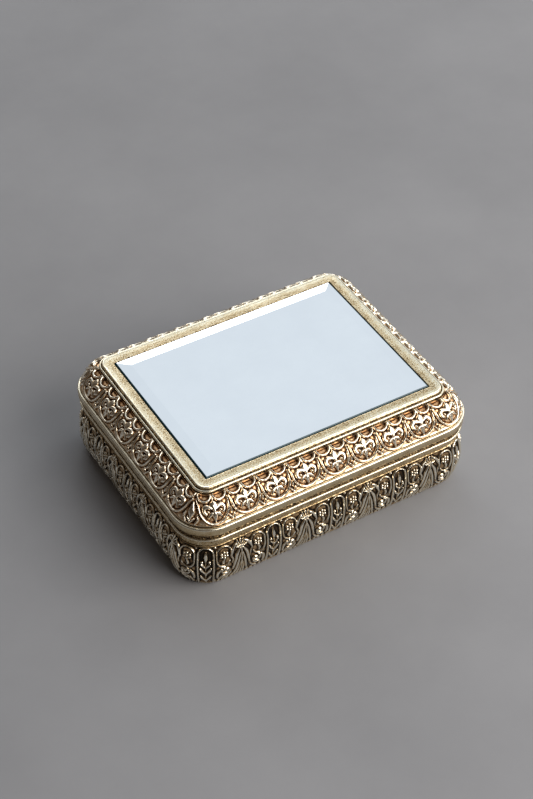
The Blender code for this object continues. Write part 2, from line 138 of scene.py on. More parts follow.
class Ring:
    """Columns carried round the opening, anticlockwise from the middle of the front.

    Each column has its straight length s along the opening and the angle a that it has turned, so
    its place along the ring at an offset o is s + a * o.
    """

    def __init__(self, spacing, reach, extra=()):
        x, y = HALF_X, HALF_Y
        self.corner_s = [x, x + 2 * y, 3 * x + 2 * y, 3 * x + 4 * y]
        self.total_s = 4 * (x + y)
        starts = [0, *self.corner_s]
        ends = [*self.corner_s, self.total_s]
        s, a = [], []
        quarter = max(6, math.ceil(math.pi / 2 * reach / spacing))
        for k, (start, end) in enumerate(zip(starts, ends)):
            count = max(2, math.ceil((end - start) / spacing))
            straight = np.linspace(start, end, count + 1)
            inside = [place for place in extra if start < place < end]
            straight = np.unique(np.concatenate([straight, inside]))
            s.append(straight if k < 4 else straight[:-1])
            a.append(np.full(len(s[-1]), k * math.pi / 2))
            if k < 4:
                turn = np.linspace(0, math.pi / 2, quarter + 1)[1:-1] + k * math.pi / 2
                s.append(np.full(len(turn), end))
                a.append(turn)
        self.s = np.concatenate(s)
        self.a = np.concatenate(a)
        knots = [0, *self.corner_s, self.total_s]
        along_x = np.interp(self.s, knots, [0, x, x, -x, -x, 0])
        along_y = np.interp(self.s, knots, [-y, -y, y, y, -y, -y])
        self.base = np.stack([along_x, along_y], 1)
        angle = self.a - math.pi / 2
        self.normal = np.stack([np.cos(angle), np.sin(angle)], 1)

    def points(self, section, heights=None):
        """(columns, rows, 3) points in millimetres of a section, moved along its normals by heights."""
        offset = np.broadcast_to(section[:, 0], (len(self.s), len(section)))
        z = np.broadcast_to(section[:, 1], offset.shape)
        if heights is not None:
            normal = section_normals(section)
            offset = offset + heights * normal[:, 0]
            z = z + heights * normal[:, 1]
        xy = self.base[:, None, :] + self.normal[:, None, :] * offset[..., None]
        return np.concatenate([xy, z[..., None]], 2)

    def side_columns(self, side):
        """The columns of one side, from the middle of one corner to the middle of the next."""
        middle = side * math.pi / 2
        quarter = math.pi / 4
        turned = (self.a - middle + math.pi) % (2 * math.pi) - math.pi
        near = np.abs(turned) <= quarter + 1e-6
        picked = np.nonzero(near)[0]
        if side == 0:
            wrap = np.nonzero(np.diff(picked) > 1)[0][0] + 1
            picked = np.concatenate([picked[wrap:], picked[:wrap]])
        return picked


def neighbours(ring, centres, offsets, reference):
    """For every column and row: the distances to the centre before it and the centre after it.

    centres is a sorted list of (s, a), and reference is the offset that orders the columns.
    """
    cs = np.array([c[0] for c in centres])
    ca = np.array([c[1] for c in centres])
    cs = np.concatenate([[cs[-1] - ring.total_s], cs, [cs[0] + ring.total_s]])
    ca = np.concatenate([[ca[-1] - 2 * math.pi], ca, [ca[0] + 2 * math.pi]])
    place = ring.s + ring.a * reference
    after = np.clip(np.searchsorted(cs + ca * reference, place), 1, len(cs) - 1)
    before = after - 1
    gone = (ring.s - cs[before])[:, None] + (ring.a - ca[before])[:, None] * offsets[None, :]
    left = (cs[after] - ring.s)[:, None] + (ca[after] - ring.a)[:, None] * offsets[None, :]
    return gone, left, before


def blurred(field, radius, passes=2):
    """A field averaged over 2 * radius + 1 samples each way, cyclic along its columns."""
    size = 2 * radius + 1
    for _ in range(passes):
        wrapped = np.concatenate([field[-radius:], field, field[:radius]])
        total = np.cumsum(np.concatenate([np.zeros((1, field.shape[1])), wrapped]), axis=0)
        field = (total[size:] - total[:-size]) / size
        padded = np.pad(field, ((0, 0), (radius, radius)), mode="edge")
        total = np.cumsum(np.concatenate([np.zeros((field.shape[0], 1)), padded], axis=1), axis=1)
        field = (total[:, size:] - total[:, :-size]) / size
    return field


def waves(points, scale, count=28, seed=3):
    """A smooth noise of about -1 to 1 over points in millimetres, with features a scale across."""
    draw = np.random.default_rng(seed)
    field = np.zeros(points.shape[:-1])
    for _ in range(count):
        direction = draw.normal(size=3)
        direction *= 2 * math.pi / scale / np.linalg.norm(direction) * draw.uniform(0.6, 1.5)
        field += np.sin(points @ direction + draw.uniform(0, 2 * math.pi))
    return field / math.sqrt(count / 2)


# ---------------------------------------------------------------- ornament


GROUND_SWELL = 0.24  # how far the ground rises between strokes


class Relief:
    """Heights over an unrolled surface, raised by strokes that keep the higher of what is there."""

    def __init__(self, x, y, ground):
        self.shape = x.shape
        self.x = x.ravel()
        self.y = y.ravel()
        self.h = np.full(self.x.size, float(ground))
        self.ground = float(ground)
        self.base = self.ground - 0.08

    def within(self, points, margin, x):
        """The samples in the box round some points, grown by a margin."""
        low = points.min(0) - margin
        high = points.max(0) + margin
        return np.nonzero((x >= low[0]) & (x <= high[0]) & (self.y >= low[1]) & (self.y <= high[1]))[0]

    def stroke(self, points, widths, rise, crease=0.0, x=None, base=None):
        """A rounded ridge along a curve. widths are half-widths spread evenly along it."""
        x = self.x if x is None else x
        base = self.base if base is None else base
        path = curve(points)
        half = np.interp(np.linspace(0, 1, len(path)), np.linspace(0, 1, len(widths)), widths)
        pick = self.within(path, half.max(), x)
        px, py = x[pick], self.y[pick]
        ratio = np.full(pick.size, 9.0)
        for (ax, ay), (bx, by), wa, wb in zip(path, path[1:], half, half[1:]):
            dx, dy = bx - ax, by - ay
            t = np.clip(((px - ax) * dx + (py - ay) * dy) / max(dx * dx + dy * dy, 1e-9), 0, 1)
            gap = np.hypot(px - ax - t * dx, py - ay - t * dy)
            ratio = np.minimum(ratio, gap / (wa + (wb - wa) * t))
        inside = ratio < 1
        top = base + rise * np.sqrt(1 - ratio[inside] ** 2) - crease * np.exp(-((ratio[inside] / 0.25) ** 2))
        self.h[pick[inside]] = np.maximum(self.h[pick[inside]], top)

    def dome(self, centre, radii, rise, x=None, base=None):
        x = self.x if x is None else x
        base = self.base if base is None else base
        middle = np.array([centre], float)
        pick = self.within(middle, max(radii), x)
        ratio = np.hypot((x[pick] - centre[0]) / radii[0], (self.y[pick] - centre[1]) / radii[1])
        inside = ratio < 1
        top = base + rise * np.sqrt(1 - ratio[inside] ** 2)
        self.h[pick[inside]] = np.maximum(self.h[pick[inside]], top)

    def bowl(self, centre, radius, depth):
        """Sinks a round hollow, deepest in its middle."""
        pick = self.within(np.array([centre], float), radius, self.x)
        ratio = np.hypot(self.x[pick] - centre[0], self.y[pick] - centre[1]) / radius
        inside = ratio < 1
        self.h[pick[inside]] -= depth * (1 - ratio[inside] ** 2)

    def level(self, mask, height):
        self.h[mask.ravel()] = height

    def heights(self):
        """The heights, with the ground swelling up where no stroke is near and trenched beside each."""
        h = self.h.reshape(self.shape)
        drawn = np.abs(h - self.ground) > 0.04
        crowd = np.clip(blurred(drawn.astype(float), 4, 2) * 2.2, 0, 1)
        return np.where(drawn, h, h + GROUND_SWELL * (1 - crowd))


def bend(centre, radius, first, last, steps=12):
    """Points on an arc of the unrolled surface, with angles from +x towards +y (down the section)."""
    return arc(centre, radius, first, last, steps)


def volute(centre, radius, turns, first, hand, steps=26):
    """Points on a spiral that winds inwards from a radius."""
    t = np.linspace(0, 1, steps)
    angles = math.radians(first) + hand * 2 * math.pi * turns * t
    r = radius * (1 - 0.82 * t)
    return np.stack([centre[0] + r * np.cos(angles), centre[1] + r * np.sin(angles)], 1)


LID_PITCH = 11.1
LID_REFERENCE = 8.5
LID_CORNER = 1.9  # how far past the corner's start the last arch of a long side stands
LID_SHORT_PITCH = 11.56


def lid_centres(ring):
    """Nine arches along each long side and six along each short side, as (s, a)."""
    found = []
    quarter = math.pi / 2
    for half_turn in (0, 1):
        middle = half_turn * ring.total_s / 2
        turned = half_turn * math.pi
        for k in range(-4, 5):
            s = middle + k * LID_PITCH
            a = turned
            if abs(k) == 4:
                s = middle + math.copysign(HALF_X, k)
                a = turned + math.copysign(LID_CORNER / LID_REFERENCE, k)
            found.append((s, a))
        for k in range(6):
            found.append((middle + HALF_X + HALF_Y + (k - 2.5) * LID_SHORT_PITCH, turned + quarter))
    found = [(s % ring.total_s, a % (2 * math.pi)) if a >= 0 and s >= 0 else (s, a) for s, a in found]
    found = [(s + ring.total_s, a + 2 * math.pi) if s < 0 else (s, a) for s, a in found]
    return sorted(found, key=lambda c: c[0] + c[1] * LID_REFERENCE)


def draw_scallops(r):
    """Two hanging scallops under the bead, with a leaf tip where they meet."""
    centre = (2.77, 5.95)
    r.bowl(centre, 2.3, 0.36)
    r.stroke(bend(centre, 2.42, -4, 184), [0.34, 0.48, 0.48, 0.34], 0.92)
    r.stroke([(0, 8.3), (0, 7.3), (0, 6.3)], [0.16, 0.4, 0.12], 0.7, crease=0.05)


def draw_horseshoe(r):
    """The arch itself: two limbs and a half round."""
    limb = np.array(bend((0, 0), 1, 90, 0)) * (4.9, 5.2) + (0, 10.6)
    r.stroke(limb, [0.5, 0.44], 1.0)
    r.stroke([(4.9, 10.6), (4.96, 9.6), (5.2, 8.2)], [0.44, 0.38, 0.28], 0.96)


def draw_fleur(r):
    """The flower in the arch: a tall petal, two curled ones, a bead, a drop and two leaves."""
    r.stroke([(0, 10.9), (0, 9.5), (0, 8.2)], [0.65, 1.4, 0.24], 1.04, crease=0.06)
    r.stroke(
        [(0.6, 10.7), (1.5, 10.1), (2.5, 9.9), (3.25, 10.6), (3.3, 11.6), (2.7, 12.3)],
        [0.34, 0.72, 0.82, 0.72, 0.66, 0.46],
        0.98,
        crease=0.05,
    )
    r.dome((2.1, 11.5), (0.55, 0.55), 0.9)
    r.dome((0, 11.25), (0.62, 0.56), 1.08)
    r.stroke([(0, 11.8), (0, 13.0), (0, 15.1)], [0.5, 1.02, 0.2], 0.96, crease=0.12)
    r.stroke([(0.65, 12.0), (1.4, 12.5), (2.3, 13.7)], [0.4, 0.72, 0.24], 0.9, crease=0.06)


def draw_spear(r, between, wide):
    """Between two arches: a teardrop and a chevron, with a broader dart at a corner."""
    r.stroke([(0, 11.8), (0, 13.1), (0, 13.9)], [0.1, 0.46, 0.2], 0.9, x=between)
    r.stroke([(1.1, 14.2), (0.6, 14.9), (0, 15.8)], [0.24, 0.4, 0.34], 0.95, x=between)
    corner = np.where(wide, between, 99.0)
    r.stroke([(0, 9.2), (0, 12.2), (0, 14.6)], [0.4, 1.3, 0.3], 0.95, crease=0.12, x=corner)
    r.stroke([(2.1, 12.8), (2.5, 14.4), (1.7, 16.1)], [0.16, 0.5, 0.3], 0.8, x=corner)


def lid_relief(ring, section):
    """Heights of the lid's frieze, a row of arches hung from scallops."""
    y = np.broadcast_to(LID_FRIEZE_START + run_length(section), (len(ring.s), len(section)))
    gone, left, unit = neighbours(ring, lid_centres(ring), section[:, 0], LID_REFERENCE)
    half = (gone + left) / 2
    near = np.minimum(gone, left)
    squeeze = np.maximum(1, LID_PITCH / 2 / half)
    x = near * squeeze
    between = (half - near).ravel()
    wide = ((gone + left) > LID_PITCH * 1.09).ravel()
    nearest = unit[:, None] + (gone > left)
    jitter = np.random.default_rng(11).normal(0, 0.05, 64)
    y = y + jitter[nearest % 64]
    r = Relief(x, y, -0.5)
    draw_scallops(r)
    draw_horseshoe(r)
    draw_fleur(r)
    draw_spear(r, between, wide)
    lower = (y > 16.55) & (y < 16.95)
    heights = r.heights()
    return np.where(lower, np.maximum(heights, -0.3), heights)


NICHE_PITCH = 24.3
BODY_REFERENCE = 11.5
BODY_CORNER = 6.1
HALF_UNIT = NICHE_PITCH / 2
SHORT_HALF = 10.2


def body_centres(ring):
    """Niches and leaf sprays in turn, as (s, a), with True for a niche."""
    found = []
    quarter = math.pi / 2
    for half_turn in (0, 1):
        middle = half_turn * ring.total_s / 2
        turned = half_turn * math.pi
        for k in range(-3, 4):
            found.append((middle + k * HALF_UNIT, turned, k % 2 == 0))
        for side in (-1, 1):
            angle = turned + side * BODY_CORNER / BODY_REFERENCE
            found.append((middle + side * HALF_X, angle, True))
        short_middle = middle + HALF_X + HALF_Y
        for k in range(-3, 4):
            found.append((short_middle + k * SHORT_HALF, turned + quarter, k % 2 == 0))
    found = [
        (s + ring.total_s, a + 2 * math.pi, niche) if s + a * BODY_REFERENCE < 0 else (s, a, niche)
        for s, a, niche in found
    ]
    return sorted(found, key=lambda c: c[0] + c[1] * BODY_REFERENCE)


def draw_niche(r):
    """A round-headed niche holding a stem of paired leaves. x is measured from its middle."""
    head = (0, 3.0)
    inside = (r.x < 2.1) & (r.y > 3.0) & (r.y < 16.6)
    inside |= np.hypot(r.x - head[0], r.y - head[1]) < 2.1
    r.level(inside, -0.62)
    r.stroke([(2.42, 17.2), (2.42, 9), (2.42, 3.0)], [0.34], 0.98)
    r.stroke(bend(head, 2.42, 0, -90), [0.34], 0.98)
    r.stroke([(0, 5.9), (0, 4.3), (0, 2.3)], [0.3, 0.72, 0.12], 0.9, crease=0.14, base=-0.68)
    r.dome((1.15, 6.3), (0.5, 0.42), 0.78, base=-0.68)
    r.stroke([(0, 17.0), (0, 6.4)], [0.2], 0.62, base=-0.68)
    for top, reach, low, width in ((6.9, 1.35, 8.7, 0.36), (9.2, 1.65, 11.7, 0.5), (13.2, 1.6, 15.9, 0.46)):
        middle = (reach * 0.75, (top + low) / 2 - 0.25)
        r.stroke([(reach, top), middle, (0.1, low)], [0.14, width, 0.24], 0.92, crease=0.1, base=-0.68)
    r.dome((0, 12.5), (0.42, 0.5), 0.85, base=-0.68)
    r.dome((0, 16.6), (0.6, 0.4), 0.85, base=-0.68)


def draw_niche_feet(r):
    """A bead and a small leaf at each side of a niche's head and foot."""
    r.dome((3.15, 0.75), (0.42, 0.4), 0.8)
    r.stroke([(2.9, 18.6), (3.1, 17.4), (2.9, 16.4)], [0.5, 0.5, 0.14], 0.8, crease=0.08)


def draw_panel(r, c):
    """The arched panel beside a niche: a fine border round a rosette of berries. c is from the spray."""
    centre = (6.2, 3.7)
    r.stroke(bend(centre, 2.55, 0, -180), [0.27], 0.82, x=c)
    r.stroke([(8.75, 3.7), (8.7, 6.6), (8.0, 8.6), (6.4, 9.7)], [0.27], 0.82, x=c)
    r.stroke([(6.4, 9.7), (5.0, 8.9), (4.4, 7.8)], [0.27, 0.24, 0.2], 0.75, x=c)
    r.dome((6.2, 4.6), (0.5, 0.5), 0.95, x=c)
    for k in range(6):
        angle = math.radians(60 * k + 30)
        petal = (6.2 + 1.08 * math.cos(angle), 4.6 + 1.08 * math.sin(angle))
        r.dome(petal, (0.52, 0.52), 0.78, x=c)
    r.stroke([(6.3, 6.3), (6.7, 7.4), (6.4, 8.6)], [0.3, 0.5, 0.16], 0.7, crease=0.08, x=c)


def draw_scroll(r, c):
    """The volute under the panel, and the leaf that grows from it towards the niche."""
    r.stroke(volute((5.5, 11.9), 1.75, 1.35, -60, 1), [0.4, 0.36, 0.24], 0.9, x=c)
    r.dome((5.5, 11.9), (0.42, 0.42), 0.95, x=c)
    leaf = [(7.3, 10.6), (8.2, 11.9), (8.5, 13.8), (8.2, 15.8)]
    r.stroke(leaf, [0.2, 0.62, 0.55, 0.16], 0.85, crease=0.12, x=c)
    for lobe in (
        [(4.6, 13.6), (5.6, 14.6), (6.9, 15.0), (7.7, 16.6)],
        [(3.6, 14.2), (4.5, 15.6), (5.8, 16.4), (6.3, 17.6)],
    ):
        r.stroke(lobe, [0.24, 0.5, 0.5, 0.16], 0.8, crease=0.1, x=c)


def draw_acanthus(r, c):
    """The spray in the middle: a fan, two leaf tips and long leaves over a scalloped foot."""
    for angle, length, width in ((0, 2.9, 0.4), (24, 2.8, 0.34), (48, 2.5, 0.32), (72, 2.0, 0.28)):
        turn = math.radians(angle)
        tip = (length * math.sin(turn), 3.7 - length * math.cos(turn))
        r.stroke([(0.1 * math.sin(turn), 3.7), tip], [0.16, width], 0.95, x=c)
    curled_leaf = [(1.35, 1.6), (2.4, 2.4), (3.3, 3.9), (3.9, 6.0)]
    r.stroke(curled_leaf, [0.16, 0.5, 0.62, 0.2], 1.0, crease=0.1, x=c)
    r.stroke([(3.9, 6.0), (3.2, 7.4), (3.4, 9.4)], [0.2, 0.36, 0.14], 0.75, x=c)
    outer_leaf = [(0.55, 4.0), (1.7, 6.2), (2.4, 9.2), (3.1, 12.9)]
    r.stroke(outer_leaf, [0.26, 0.62, 0.66, 0.16], 0.95, crease=0.12, x=c)
    inner_leaf = [(0.45, 6.2), (1.1, 9.4), (1.7, 13.2), (2.6, 16.6)]
    r.stroke(inner_leaf, [0.2, 0.55, 0.62, 0.16], 0.9, crease=0.12, x=c)
    r.stroke([(0.35, 10.4), (0.8, 13.6), (1.3, 17.9)], [0.2, 0.5, 0.3], 0.88, crease=0.1, x=c)
    r.stroke([(0, 4.0), (0, 11), (0, 18.4)], [0.34, 0.24, 0.3], 0.98, x=c)


def draw_foot(r, c):
    """Scalloped lobes along the foot."""
    for centre in (1.3, 2.9, 4.5, 6.1, 7.7):
        r.dome((centre, 18.0), (0.78, 0.95), 0.78, x=c)


def body_relief(ring, section):
    """Heights of the box's frieze: niches and leaf sprays with panels and scrolls between them."""
    centres = body_centres(ring)
    y = np.broadcast_to(BODY_FRIEZE_START + run_length(section), (len(ring.s), len(section)))
    flat = np.full(len(section), BODY_REFERENCE)
    gone, left, unit = neighbours(ring, centres, flat, BODY_REFERENCE)
    kinds = np.array([centres[-1][2], *[c[2] for c in centres], centres[0][2]])
    from_niche = np.where(kinds[unit][:, None], gone, left)
    x = from_niche / (gone + left) * HALF_UNIT
    jitter = np.random.default_rng(5).normal(0, 0.06, 64)
    y = y + jitter[unit % 64][:, None] * 0.5
    r = Relief(x, y, -0.52)
    c = HALF_UNIT - r.x
    draw_panel(r, c)
    draw_scroll(r, c)
    draw_foot(r, c)
    draw_acanthus(r, c)
    draw_niche(r)
    draw_niche_feet(r)
    return r.heights()


# ---------------------------------------------------------------- meshes


def mesh_object(name, points, loops, starts, attributes=None):
    """An object from points in millimetres and polygons given as one run of indices."""
    mesh = bpy.data.meshes.new(name)
    mesh.vertices.add(len(points))
    mesh.vertices.foreach_set("co", (points * MM).astype(np.float32).ravel())
    mesh.loops.add(len(loops))
    mesh.loops.foreach_set("vertex_index", loops.astype(np.int32))
    mesh.polygons.add(len(starts))
    mesh.polygons.foreach_set("loop_start", starts.astype(np.int32))
    mesh.update(calc_edges=True)
    mesh.validate()
    mesh.shade_flat()
    for key, values in (attributes or {}).items():
        layer = mesh.attributes.new(key, "FLOAT", "POINT")
        layer.data.foreach_set("value", values.astype(np.float32).ravel())
    obj = bpy.data.objects.new(name, mesh)
    bpy.context.scene.collection.objects.link(obj)
    return obj


def swept(name, points, cyclic, attributes=None, sharp=60):
    """A closed solid from (columns, rows, 3) points whose rows run round its section."""
    columns, rows = points.shape[:2]
    flat = points.reshape(-1, 3)
    index = np.arange(columns * rows).reshape(columns, rows)
    following = np.roll(index, -1, axis=0) if cyclic else index[1:]
    present = index if cyclic else index[:-1]
    quads = np.stack(
        [present, np.roll(present, -1, axis=1), np.roll(following, -1, axis=1), following], -1
    ).reshape(-1, 4)
    a, b, c, d = (flat[quads[:, k]] for k in range(4))
    volume = np.einsum("ij,ij->", a, np.cross(b, c)) + np.einsum("ij,ij->", a, np.cross(c, d))
    caps = [] if cyclic else [index[0][::-1], index[-1]]
    if volume < 0:
        quads = quads[:, ::-1]
        caps = [cap[::-1] for cap in caps]
    loops = np.concatenate([quads.ravel(), *caps])
    starts = np.concatenate([np.arange(len(quads)) * 4, len(quads) * 4 + np.arange(len(caps)) * rows])
    obj = mesh_object(name, flat, loops, starts, attributes)
    obj.data.shade_smooth()
    obj.data.set_sharp_from_angle(angle=math.radians(sharp))
    if not cyclic:
        sharpen_ends(obj.data, rows, columns)
    return obj


def sharpen_ends(mesh, rows, columns):
    """Marks the edges round both caps sharp, so that the shading runs on into the next piece."""
    ends = np.empty(len(mesh.edges) * 2, np.int32)
    mesh.edges.foreach_get("vertices", ends)
    column = ends.reshape(-1, 2) // rows
    last = columns - 1
    rim = (column[:, 0] == column[:, 1]) & ((column[:, 0] == 0) | (column[:, 0] == last))
    layer = mesh.attributes.get("sharp_edge") or mesh.attributes.new("sharp_edge", "BOOLEAN", "EDGE")
    values = np.zeros(len(mesh.edges), bool)
    layer.data.foreach_get("value", values)
    layer.data.foreach_set("value", values | rim)


def moulded(ring, front, back, base_z, heights, tone, cavity):
    """(points, attributes) of a front section with relief, closed by the corners of its back."""
    lift = np.array([0.0, base_z])
    face = ring.points(front + lift, heights)
    rear = ring.points(np.asarray(back, float).reshape(-1, 2) + lift)
    points = np.concatenate([face, rear], 1)
    fill = np.zeros((len(ring.s), len(back)))
    return points, {
        "relief": np.concatenate([tone, fill], 1),
        "cavity": np.concatenate([cavity, fill], 1),
    }


def faded(heights, rows=3):
    """Heights brought to nothing at the first and last rows, where the next piece begins."""
    count = heights.shape[1]
    at = np.arange(count)
    weight = np.clip(np.minimum(at, count - 1 - at) / rows, 0, 1)
    return heights * weight


def frieze_pieces(prefix, ring, front, back, base_z, heights):
    """Four closed pieces, one for each side, that meet in the middle of the corners."""
    soft = blurred(heights, 1, 1) * 0.45 + heights * 0.55
    lumps = waves(ring.points(front + [0, base_z]), 1.3) * 0.022
    soft = faded(soft + lumps)
    low, high = np.percentile(soft, (2, 99.5))
    tone = np.clip((soft - low) / (high - low), 0, 1)
    # cavity: how far each point stands above or sinks below its surroundings; the gilding paints its
    # crevices dark as shade.
    cavity = np.clip((soft - blurred(soft, 3, 2)) / 0.36, -1, 1)
    points, attributes = moulded(ring, front, back, base_z, soft, tone, cavity)
    made = []
    for k, side in enumerate(SIDES):
        columns = ring.side_columns(k)
        parts = {key: values[columns] for key, values in attributes.items()}
        made.append(swept(f"{prefix}_{side}", points[columns], False, parts))
    return made


def hinge_columns(ring_total):
    """Where the notches' sides stand along the ring, each as a pair of columns close together."""
    found = []
    for low, high in HINGES:
        for x in (low.x - NOTCH_CLEAR, high.x + NOTCH_CLEAR):
            s = ring_total / 2 - x
            found += [s - 0.02, s + 0.02]
    return found


def in_notch(ring):
    """True for the columns that stand in a hinge's notch."""
    on_back = np.isclose(ring.a, math.pi)
    x = ring.total_s / 2 - ring.s
    inside = np.zeros(len(ring.s), bool)
    for low, high in HINGES:
        inside |= on_back & (x > low.x - NOTCH_CLEAR) & (x < high.x + NOTCH_CLEAR)
    return inside


# ---------------------------------------------------------------- sections

LID_FRIEZE_START = 5.98
BODY_FRIEZE_START = 0.1
RING_TOTAL = 4 * (HALF_X + HALF_Y)
BAND_BACK = -4.4  # height of the underside of the lid's band, behind the frieze


def band_section():
    """The lid's top band: lip, flat, raised edge, groove and reed, down to the frieze."""
    # Low tones paint shade on the lip's inner face beside the glass and in the grooves; the flat grows
    # lighter towards its raised edge.
    outline = [(0, -1.0, 0.1), (0, -0.1, 0.4), (0.1, 0, 0.54), (1.2, 0, 0.5), (1.7, 0, 0.56), (2.3, 0, 0.76)]
    outline += [(3.1, 0.0, 0.8), (3.3, 0.08, 1.0), (3.6, 0.08, 1.0), (3.8, -0.1, 0.6)]
    outline += [(3.92, -0.6, 0.16), (4.06, -0.84, 0.12), (4.2, -0.8, 0.3)]
    outline += toned(arc((4.45, -1.02), 0.4, 115, -30, 9), 0.98)
    outline += [(4.68, -1.5, 0.1), (4.8, -1.72, 0.06), (5.05, -1.68, 0.2)]
    back = [(4.62, BAND_BACK), (1.5, BAND_BACK), (1.5, -1.0)]
    return outline, back


def lid_frieze_section():
    outline = curve(
        [(5.05, -1.68), (6.8, -2.6), (8.5, -3.9), (9.7, -5.3), (10.6, -7.0), (11.2, -8.3), (11.6, -9.4)], 12
    )
    back = [(WALL_INNER, -9.4), (WALL_INNER, -8.2), (5.6, BAND_BACK), (4.62, BAND_BACK)]
    return outline, back


def lower_band_section():
    """The plain lower band: a thin groove, a rounded edge and a face down to the lid's edge."""
    bottom = EDGE_Z - BAND_Z
    # Low tones paint shade in the thin groove and under the lid's edge.
    outline = [(11.6, -9.4, 0.5), (11.5, -9.66, 0.1), (11.56, -9.92, 0.12), (11.74, -10.06, 0.6)]
    outline += toned(arc((11.93, -10.62), 0.56, 100, 10, 8), 1.0)
    outline += [(12.44, -10.9, 0.62), (12.36, bottom + 0.5, 0.5), (12.3, bottom + 0.3, 0.62)]
    outline += [(12.2, bottom + 0.1, 0.75), (12.02, bottom, 0.3), (WALL_INNER, bottom, 0.1)]
    back = [(WALL_INNER, -9.4)]
    return outline, back


def body_frieze_section():
    foot = FOOT_Z - RIM_Z
    bulge = [(10.95, -6.0), (11.45, -7.3), (12.2, -9.7), (12.6, -13.3)]
    bulge += [(12.3, -17.7), (11.4, -21.5), (10.1, foot)]
    outline = curve(bulge, 12)
    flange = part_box("base_plate")[1].z / MM - RIM_Z
    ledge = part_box("floor_card")[0].z / MM - RIM_Z - 0.2
    back = [(8.8, foot), (8.8, flange + 0.2), (5.0, flange + 0.2), (5.0, ledge), (WALL_INNER, ledge)]
    return outline, [*back, (WALL_INNER, -6.0)]


def rim_section():
    """The box's rim: inner edge, sloping ledge, bead, hollow neck and the line over the frieze."""
    outline = [(WALL_INNER, -6.0, 0.5), (WALL_INNER, -0.1, 0.5), (WALL_INNER + 0.1, 0, 0.6), (10.95, 0, 0.5)]
    # The ledge's falling tones paint the shade that the lid's edge casts on it.
    outline += [(11.1, -0.06, 0.3), (11.26, -0.5, 0.24), (11.44, -1.3, 0.2), (11.62, -1.78, 0.14)]
    outline += toned(arc((11.64, -2.2), 0.4, 86, -20, 8), 1.0)
    outline += toned(arc((11.64, -2.2), 0.4, -34, -66, 3), 0.5)
    neck = curve([(11.6, -2.72), (11.2, -3.0), (10.9, -3.5), (10.8, -4.4), (10.84, -5.3)], 4)
    outline += toned(neck, 0.5)
    # The lowest tones here paint shade in the line over the frieze.
    outline += [(10.86, -5.42, 0.4), (10.64, -5.58, 0.06), (10.64, -5.76, 0.06), (10.95, -6.0, 0.5)]
    return outline, []


# ---------------------------------------------------------------- materials


def new_material(name):
    mat = bpy.data.materials.new(name)
    mat.use_nodes = True
    tree = mat.node_tree
    shader = tree.nodes["Principled BSDF"]
    return mat, tree, shader


def node(tree, kind, **settings):
    made = tree.nodes.new(kind)
    for key, value in settings.items():
        if key in made.inputs:
            made.inputs[key].default_value = value
        else:
            setattr(made, key, value)
    return made


def link(tree, source, target):
    tree.links.new(source, target)


def noise(tree, coords, scale, detail=4.0, roughness=0.55):
    made = node(tree, "ShaderNodeTexNoise")
    made.inputs["Scale"].default_value = scale
    made.inputs["Detail"].default_value = detail
    made.inputs["Roughness"].default_value = roughness
    link(tree, coords, made.inputs["Vector"])
    return made.outputs["Fac"]


def maths(tree, operation, first, second, third=None, clamp=False):
    made = node(tree, "ShaderNodeMath", operation=operation, use_clamp=clamp)
    for socket, value in zip(made.inputs, (first, second, third)):
        if value is None:
            continue
        if isinstance(value, (int, float)):
            socket.default_value = value
        else:
            link(tree, value, socket)
    return made.outputs[0]


def ramp(tree, factor, stops):
    made = node(tree, "ShaderNodeValToRGB")
    elements = made.color_ramp.elements
    while len(elements) < len(stops):
        elements.new(0.5)
    for element, (place, colour) in zip(elements, stops):
        element.position = place
        element.color = (*colour, 1.0)
    link(tree, factor, made.inputs["Fac"])
    return made.outputs["Color"]


def scaled(tree, value, low, high):
    """A 0 to 1 value carried to low to high."""
    made = node(tree, "ShaderNodeMapRange")
    made.inputs["To Min"].default_value = low
    made.inputs["To Max"].default_value = high
    link(tree, value, made.inputs["Value"])
    return made.outputs["Result"]


def bump(tree, shader, height, strength, distance):
    made = node(tree, "ShaderNodeBump")
    made.inputs["Strength"].default_value = strength
    made.inputs["Distance"].default_value = distance
    link(tree, height, made.inputs["Height"])
    link(tree, made.outputs["Normal"], shader.inputs["Normal"])


def object_coords(tree):
    return node(tree, "ShaderNodeTexCoord").outputs["Object"]


# In these ramps the darkest stops are painted shade in the deepest crevices and grooves, the browns are
# patina and the palest stops rubbed gilt.
GILT_STOPS = (
    (0.0, (0.018, 0.008, 0.004)),
    (0.16, (0.11, 0.046, 0.018)),
    (0.34, (0.50, 0.270, 0.115)),
    (0.52, (0.80, 0.530, 0.300)),
    (0.74, (0.93, 0.760, 0.510)),
    (1.0, (0.98, 0.900, 0.740)),
)
BOX_STOPS = (
    (0.0, (0.014, 0.010, 0.006)),
    (0.18, (0.085, 0.050, 0.024)),
    (0.40, (0.40, 0.260, 0.130)),
    (0.60, (0.64, 0.490, 0.290)),
    (0.82, (0.84, 0.730, 0.510)),
    (1.0, (0.96, 0.910, 0.770)),
)
MOULDING_STOPS = (
    (0.0, (0.020, 0.012, 0.006)),
    (0.18, (0.10, 0.060, 0.025)),
    (0.36, (0.40, 0.270, 0.120)),
    (0.55, (0.66, 0.530, 0.320)),
    (0.80, (0.80, 0.700, 0.490)),
    (1.0, (0.95, 0.880, 0.700)),
)
VELVET_STOPS = ((0.30, (0.055, 0.003, 0.010)), (0.55, (0.16, 0.010, 0.028)), (0.75, (0.30, 0.03, 0.06)))
FELT_STOPS = ((0.3, (0.015, 0.045, 0.022)), (0.55, (0.04, 0.10, 0.055)), (0.8, (0.09, 0.17, 0.10)))
CARD_STOPS = ((0.3, (0.20, 0.17, 0.13)), (0.5, (0.32, 0.28, 0.22)), (0.72, (0.44, 0.40, 0.33)))
SILVER_STOPS = ((0.35, (0.865, 0.885, 0.90)), (0.7, (0.90, 0.92, 0.93)))
